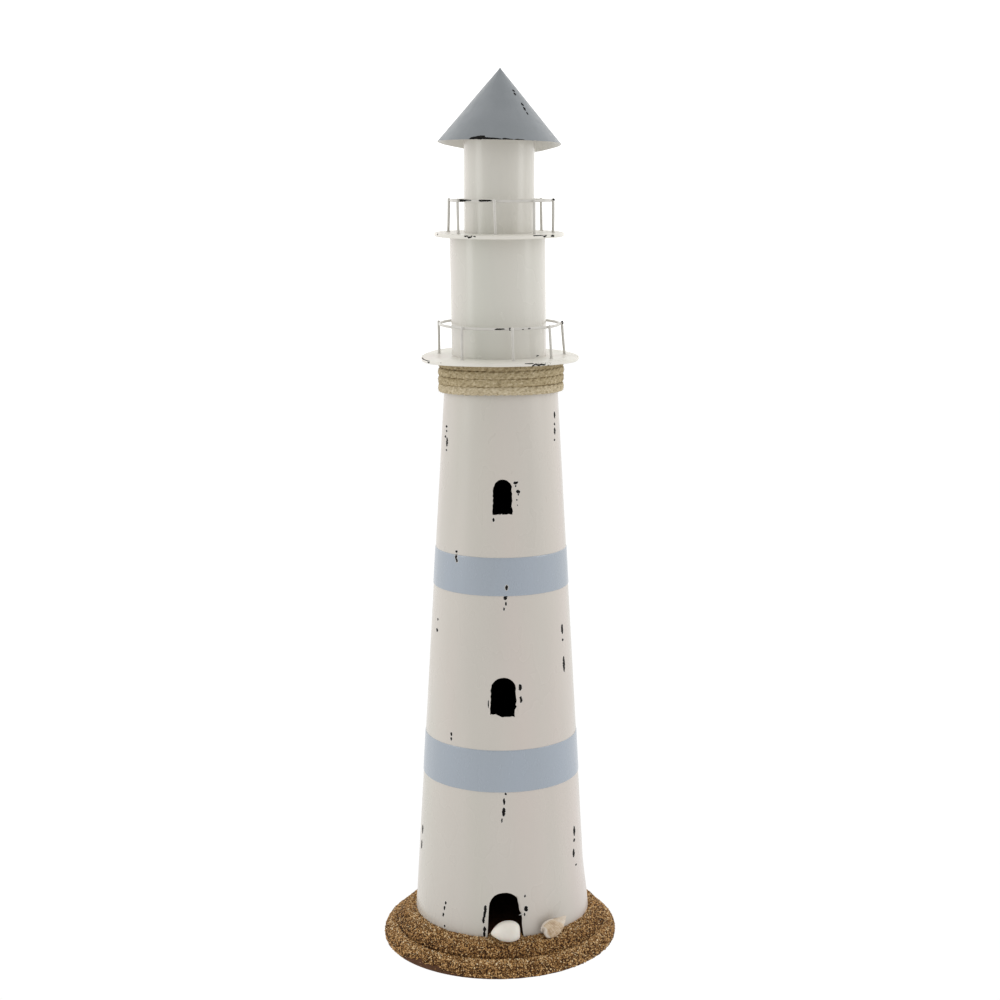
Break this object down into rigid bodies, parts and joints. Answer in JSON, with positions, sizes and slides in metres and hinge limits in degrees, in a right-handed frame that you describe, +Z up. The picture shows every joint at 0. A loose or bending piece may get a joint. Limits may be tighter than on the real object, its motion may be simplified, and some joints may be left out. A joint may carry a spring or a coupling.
{
  "type": "garden lighthouse ornament",
  "caption": "Free-standing sheet-metal lighthouse ornament: tapered tower, two railed galleries, cone roof, rope collar, blue bands and a sand-covered stepped base.",
  "frame": {"origin": "centre of the underside of the base, on the surface it stands on", "axes": "+Z up along the tower; the doorway and windows face -Y; +X is the viewer's right"},
  "size_m": [0.2106, 0.2106, 0.76],
  "materials": {
    "sand": "coarse glued sand, brown and gold grains",
    "board": "fibreboard, brown edge",
    "cream_paint": "brushed cream paint on sheet steel, semi-gloss, chipped to black",
    "blue_paint": "grey-blue gloss paint on sheet steel",
    "roof_paint": "dark grey-blue paint outside, cream inside",
    "jute": "laid jute rope",
    "pebble": "smooth white pebble",
    "shell": "natural sea shell, ribbed",
    "zinc": "zinc plated steel"
  },
  "bodies": {
    "root": {"base_lower_board": "board", "base_sand_lower_tier": "sand", "base_sand_upper_tier": "sand", "base_upper_board": "board", "blue_band_lower": "blue_paint", "blue_band_upper": "blue_paint", "doorway_pebble": "pebble", "lantern_tube": "cream_paint", "lower_gallery_deck": "cream_paint", "lower_rail_post_1": "cream_paint", "lower_rail_post_2": "cream_paint", "lower_rail_post_3": "cream_paint", "lower_rail_post_4": "cream_paint", "lower_rail_post_5": "cream_paint", "lower_rail_post_6": "cream_paint", "lower_rail_post_7": "cream_paint", "lower_rail_post_8": "cream_paint", "lower_rail_ring": "cream_paint", "mid_tube": "cream_paint", "roof_cone": "roof_paint", "rope_winding": "jute", "sea_snail_shell": "shell", "tower_foot_clips": "zinc", "tower_foot_screws": "zinc", "tower_shell": "cream_paint", "upper_gallery_deck": "cream_paint", "upper_rail_post_1": "cream_paint", "upper_rail_post_2": "cream_paint", "upper_rail_post_3": "cream_paint", "upper_rail_post_4": "cream_paint", "upper_rail_post_5": "cream_paint", "upper_rail_post_6": "cream_paint", "upper_rail_post_7": "cream_paint", "upper_rail_post_8": "cream_paint", "upper_rail_ring": "cream_paint"}
  },
  "joints": []
}
